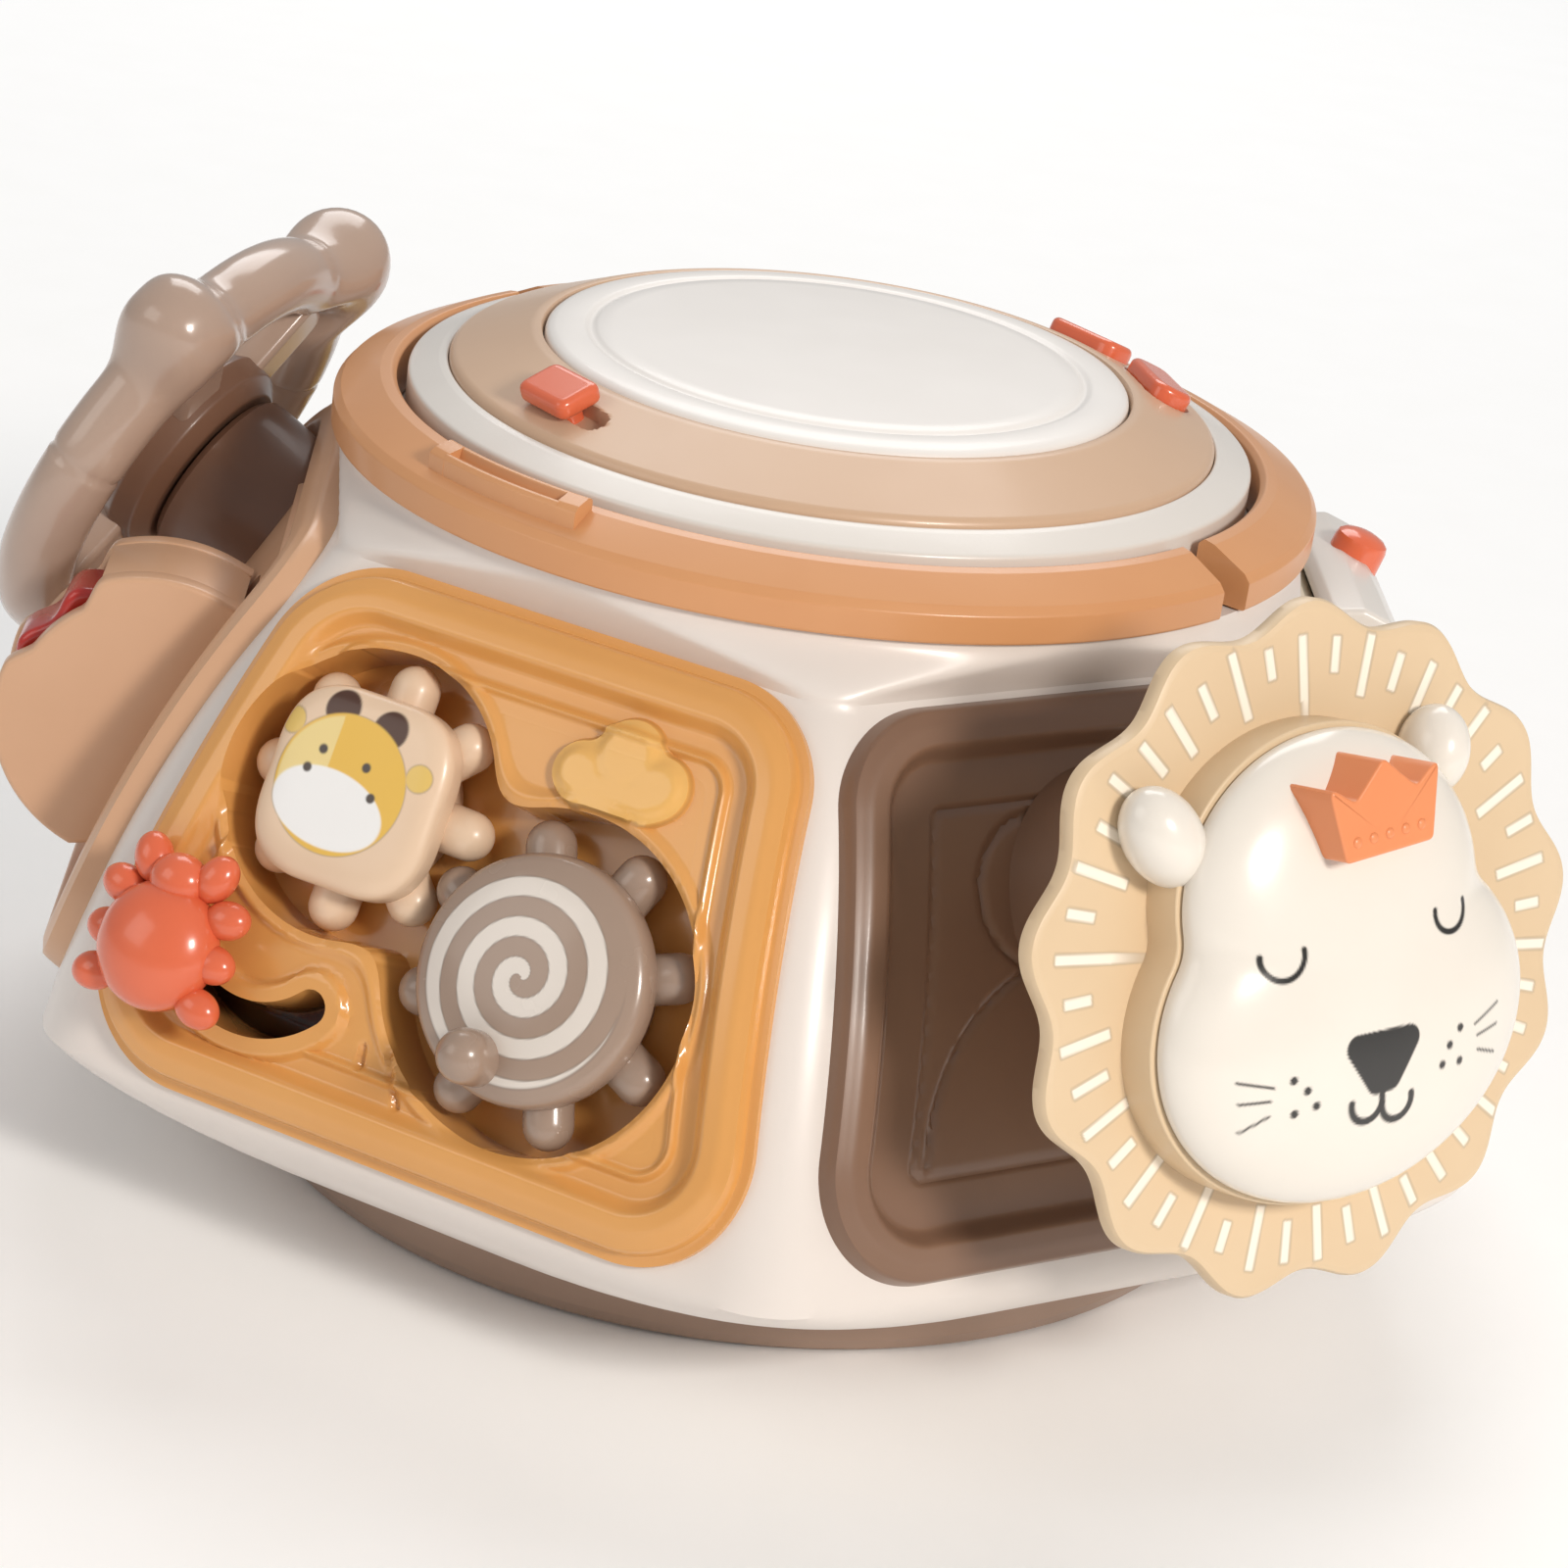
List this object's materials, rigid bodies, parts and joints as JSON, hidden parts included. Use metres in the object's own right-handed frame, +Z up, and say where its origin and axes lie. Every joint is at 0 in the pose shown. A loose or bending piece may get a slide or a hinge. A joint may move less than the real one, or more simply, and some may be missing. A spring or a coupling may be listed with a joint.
{
  "type": "baby activity drum",
  "caption": "Six-sided tabletop activity drum for babies with meshing peg gears, a turning lion, an eared steering wheel, piano keys, a clock, rollers and a lift-up handle round a drum pad.",
  "frame": {"origin": "centre of the flat bottom of the base, on the drum axis", "axes": "+Z up along the drum axis, -Y towards the ridge between the gear panel and the lion panel"},
  "size_m": [0.2744, 0.3001, 0.1535],
  "materials": {
    "cream_abs": "semi-gloss moulded",
    "taupe_abs": "semi-gloss moulded",
    "white_abs": "semi-gloss moulded",
    "sand_abs": "semi-gloss moulded",
    "drum_abs": "satin moulded",
    "terracotta_abs": "semi-gloss moulded",
    "coral_abs": "gloss moulded",
    "amber_abs": "semi-gloss moulded",
    "gear_greige_abs": "gloss moulded",
    "gear_pink_abs": "semi-gloss moulded",
    "brown_abs": "semi-gloss moulded",
    "mane_abs": "satin moulded",
    "face_abs": "gloss moulded",
    "crown_abs": "satin moulded",
    "tan_abs": "semi-gloss moulded",
    "wheel_abs": "gloss moulded",
    "cocoa_abs": "satin moulded",
    "red_abs": "gloss moulded",
    "ivory_abs": "semi-gloss moulded",
    "honey_abs": "gloss moulded",
    "clock_abs": "semi-gloss moulded",
    "stone_abs": "semi-gloss moulded",
    "steel": "plain",
    "soft_rubber": "matt",
    "inner_plastic": "matt",
    "cell": "printed sleeve",
    "board": "solder mask"
  },
  "bodies": {
    "housing": {"main_shell": "cream_abs", "base_pan": "taupe_abs", "base_screws": "steel", "rubber_feet": "soft_rubber", "battery_door": "taupe_abs", "batteries": "cell", "battery_box": "inner_plastic", "circuit_board": "board", "speaker": "inner_plastic", "drum_tray": "white_abs", "drum_cushion": "soft_rubber", "top_ring": "white_abs", "deck_ring": "sand_abs", "ring_trim": "terracotta_abs", "handle_pins": "steel", "gear_panel": "amber_abs", "gear_axles": "steel", "lion_panel": "brown_abs", "lion_post": "brown_abs", "wheel_panel": "tan_abs", "wheel_column": "tan_abs", "click_axle": "steel", "piano_panel": "ivory_abs", "key_hood": "ivory_abs", "key_rod": "steel", "clock_panel": "clock_abs", "clock_pin": "steel", "roller_panel": "stone_abs", "roller_axle": "steel"},
    "drum": {"drum_pad": "drum_abs"},
    "switch": {"power_switch": "coral_abs"},
    "song": {"song_button": "coral_abs"},
    "volume": {"volume_button": "coral_abs"},
    "handle": {"carry_handle": "terracotta_abs"},
    "snail": {"snail_gear": "gear_greige_abs"},
    "cow": {"cow_gear": "gear_pink_abs"},
    "beetle": {"beetle_slider": "coral_abs"},
    "lion": {"lion_mane": "mane_abs", "lion_face": "face_abs", "lion_ears": "face_abs", "lion_crown": "crown_abs"},
    "wheel": {"wheel_rim": "wheel_abs", "wheel_cap": "cocoa_abs"},
    "horn": {"horn_button": "coral_abs"},
    "click": {"click_wheel": "red_abs"},
    "key_1": {"key_coral": "coral_abs"},
    "key_2": {"key_amber": "honey_abs"},
    "key_3": {"key_cream": "face_abs"},
    "key_4": {"key_taupe": "taupe_abs"},
    "hood_press": {"hood_button": "coral_abs"},
    "hour": {"hour_hand": "coral_abs"},
    "minute": {"minute_hand": "brown_abs"},
    "roller_1": {"roller_left": "coral_abs"},
    "roller_2": {"roller_middle": "ivory_abs"},
    "roller_3": {"roller_right": "honey_abs"}
  },
  "joints": [
    {"name": "drum_press", "type": "slide", "parent": "housing", "child": "drum", "axis": [0, 0, -1], "range_m": [0, 0.0025], "stiffness_N_per_m": 900, "springref_m": -0.0015, "deforming": ["drum_cushion"]},
    {"name": "switch_slide", "type": "slide", "parent": "housing", "child": "switch", "axis": [0.6157, -0.788, 0], "range_m": [0, 0.007]},
    {"name": "song_press", "type": "slide", "parent": "housing", "child": "song", "axis": [-0.2979, -0.2245, -0.9278], "range_m": [0, 0.002], "stiffness_N_per_m": 300, "springref_m": -0.001},
    {"name": "volume_press", "type": "slide", "parent": "housing", "child": "volume", "axis": [-0.3634, -0.0839, -0.9278], "range_m": [0, 0.002], "stiffness_N_per_m": 300, "springref_m": -0.001},
    {"name": "handle_lift", "type": "hinge", "parent": "housing", "child": "handle", "pos_m": [0, 0, 0.1325], "axis": [-0.7431, 0.6691, 0], "range_deg": [0, 90]},
    {"name": "snail_spin", "type": "hinge", "parent": "housing", "child": "snail", "pos_m": [-0.04106, -0.10571, 0.07064], "axis": [-0.4494, -0.7784, 0.4384], "continuous": true},
    {"name": "cow_spin", "type": "hinge", "parent": "housing", "child": "cow", "pos_m": [-0.07301, -0.07765, 0.08772], "axis": [-0.4494, -0.7784, 0.4384], "continuous": true},
    {"name": "beetle_slide", "type": "hinge", "parent": "housing", "child": "beetle", "pos_m": [-0.08526, -0.08227, 0.06696], "axis": [-0.4494, -0.7784, 0.4384], "range_deg": [0, 97]},
    {"name": "lion_spin", "type": "hinge", "parent": "housing", "child": "lion", "pos_m": [0.0766, -0.12748, 0.1004], "axis": [0.5261, -0.8101, 0.2588], "continuous": true},
    {"name": "wheel_turn", "type": "hinge", "parent": "housing", "child": "wheel", "pos_m": [-0.118, 0.033, 0.108], "axis": [-0.8273, 0.3512, 0.4384], "range_deg": [-45, 45]},
    {"name": "horn_press", "type": "slide", "parent": "wheel", "child": "horn", "axis": [0.8273, -0.3512, -0.4384], "range_m": [0, 0.0012], "stiffness_N_per_m": 300, "springref_m": -0.001},
    {"name": "click_spin", "type": "hinge", "parent": "housing", "child": "click", "pos_m": [-0.11335, -0.022, 0.07716], "axis": [0, -1, 0], "continuous": true},
    {"name": "key_1_press", "type": "hinge", "parent": "housing", "child": "key_1", "pos_m": [0.10071, -0.02775, 0.09714], "axis": [0, 1, 0], "range_deg": [0, 5], "stiffness_Nm_per_rad": 0.4, "springref_deg": -2.86},
    {"name": "key_2_press", "type": "hinge", "parent": "housing", "child": "key_2", "pos_m": [0.10071, -0.00925, 0.09714], "axis": [0, 1, 0], "range_deg": [0, 5], "stiffness_Nm_per_rad": 0.4, "springref_deg": -2.86},
    {"name": "key_3_press", "type": "hinge", "parent": "housing", "child": "key_3", "pos_m": [0.10071, 0.00925, 0.09714], "axis": [0, 1, 0], "range_deg": [0, 5], "stiffness_Nm_per_rad": 0.4, "springref_deg": -2.86},
    {"name": "key_4_press", "type": "hinge", "parent": "housing", "child": "key_4", "pos_m": [0.10071, 0.02775, 0.09714], "axis": [0, 1, 0], "range_deg": [0, 5], "stiffness_Nm_per_rad": 0.4, "springref_deg": -2.86},
    {"name": "hood_button_press", "type": "slide", "parent": "housing", "child": "hood_press", "axis": [-0.2756, 0, -0.9613], "range_m": [0, 0.002], "stiffness_N_per_m": 300, "springref_m": -0.001},
    {"name": "hour_turn", "type": "hinge", "parent": "housing", "child": "hour", "pos_m": [0.054, 0.09353, 0.079], "axis": [0.4494, 0.7784, 0.4384], "continuous": true},
    {"name": "minute_turn", "type": "hinge", "parent": "housing", "child": "minute", "pos_m": [0.054, 0.09353, 0.079], "axis": [0.4494, 0.7784, 0.4384], "continuous": true},
    {"name": "roller_1_spin", "type": "hinge", "parent": "housing", "child": "roller_1", "pos_m": [-0.03475, 0.10879, 0.08075], "axis": [-0.866, -0.5, 0], "continuous": true},
    {"name": "roller_2_spin", "type": "hinge", "parent": "housing", "child": "roller_2", "pos_m": [-0.05571, 0.09669, 0.08075], "axis": [-0.866, -0.5, 0], "continuous": true},
    {"name": "roller_3_spin", "type": "hinge", "parent": "housing", "child": "roller_3", "pos_m": [-0.07667, 0.08459, 0.08075], "axis": [-0.866, -0.5, 0], "continuous": true}
  ],
  "couplings": [
    {"joint": "cow_spin", "follows": "snail_spin", "ratio": -1}
  ]
}
